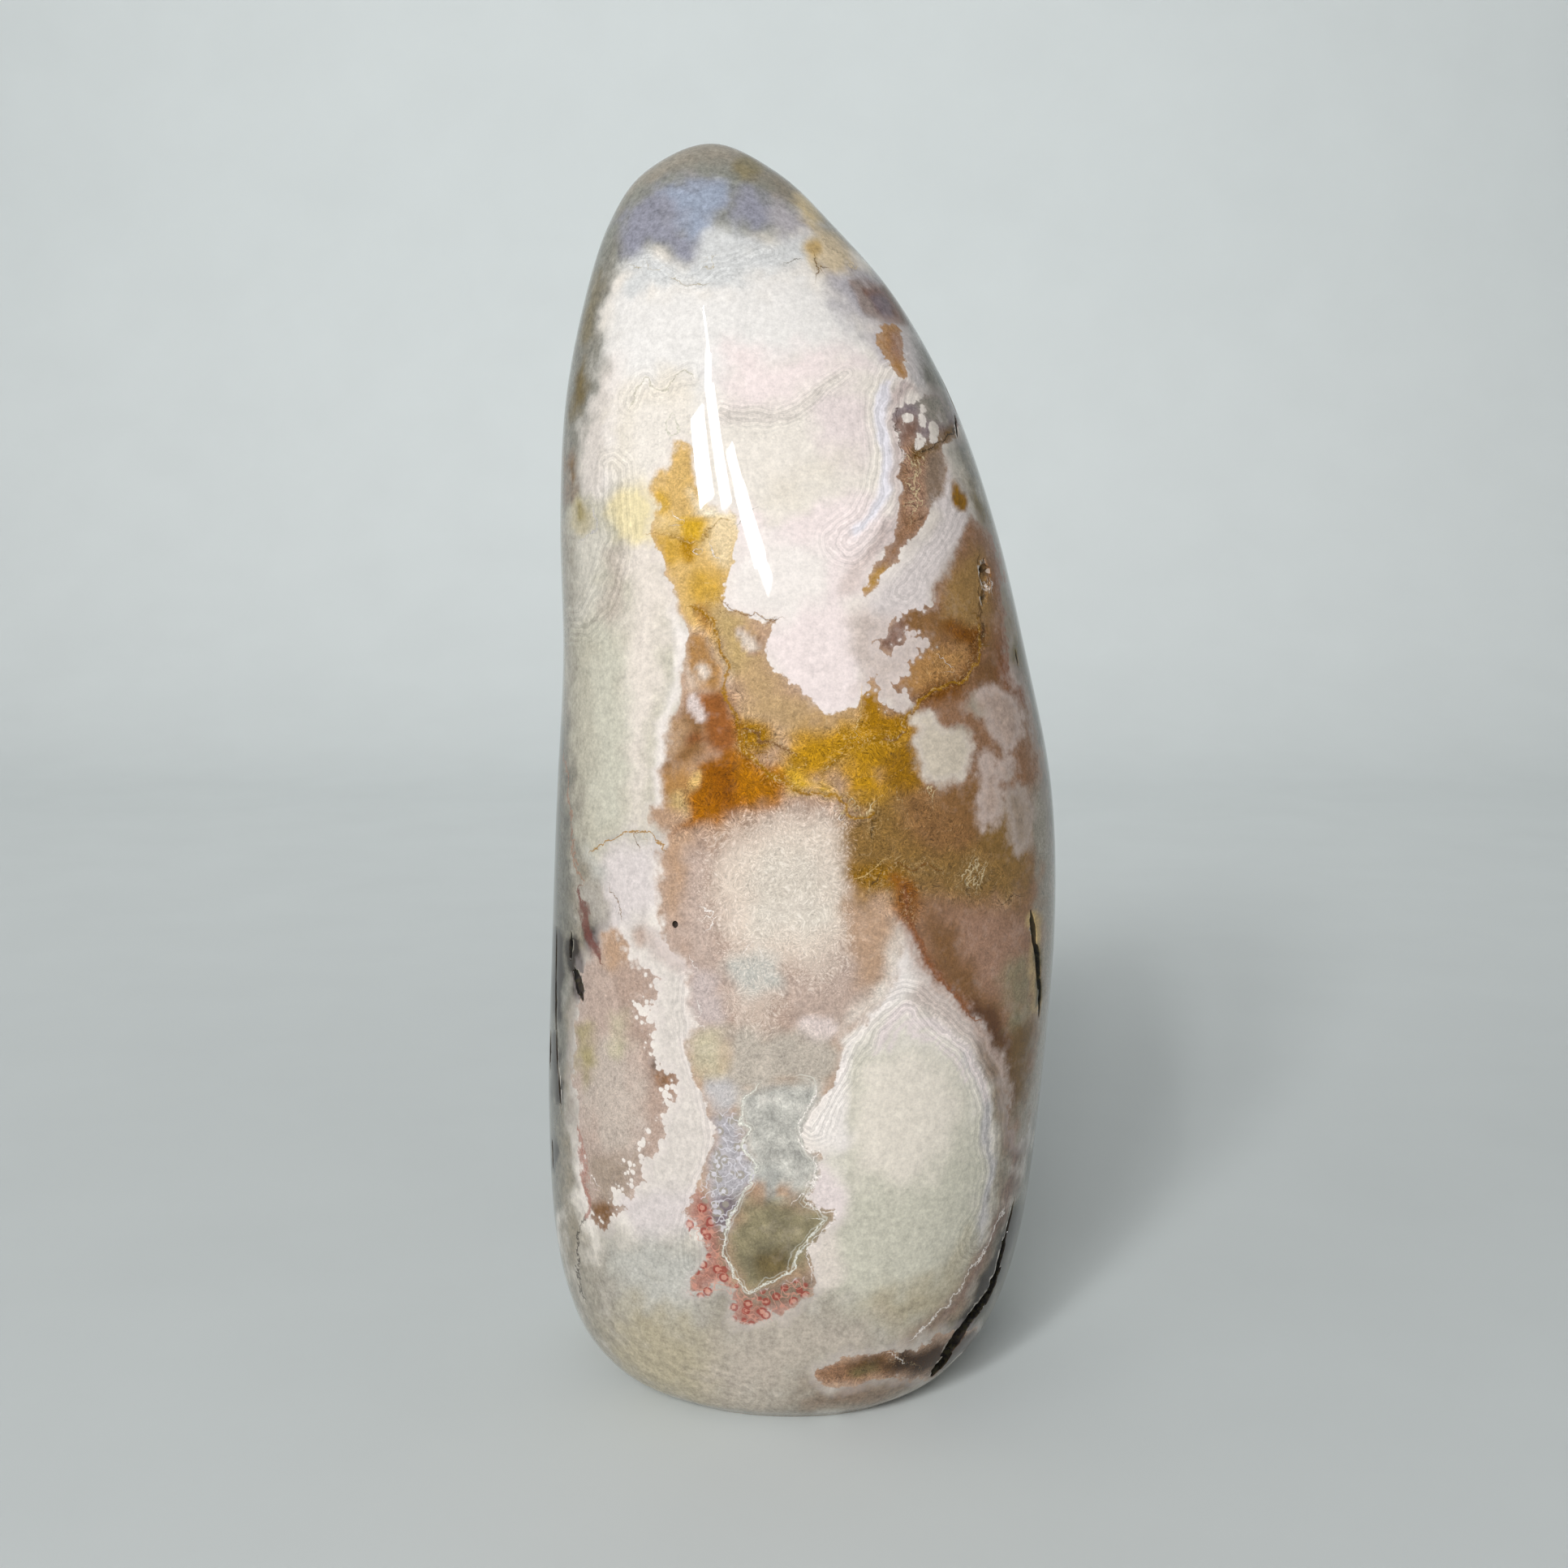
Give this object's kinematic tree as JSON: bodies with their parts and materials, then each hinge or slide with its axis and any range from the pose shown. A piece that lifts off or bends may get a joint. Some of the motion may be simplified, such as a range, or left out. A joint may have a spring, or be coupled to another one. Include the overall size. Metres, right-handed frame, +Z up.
{
  "type": "flower agate freeform",
  "caption": "Tall polished freeform of flower agate that stands on a flat sawn foot, for display on a shelf or table.",
  "frame": {"origin": "middle of the stone's box at the level of its flat foot", "axes": "+Z up along the stone's length, shown side facing -Y, +X to the right of the shown side"},
  "size_m": [0.0626, 0.056, 0.1484],
  "materials": {
    "polished_agate": "polished"
  },
  "bodies": {
    "root": {"stone": "polished_agate"}
  },
  "joints": []
}
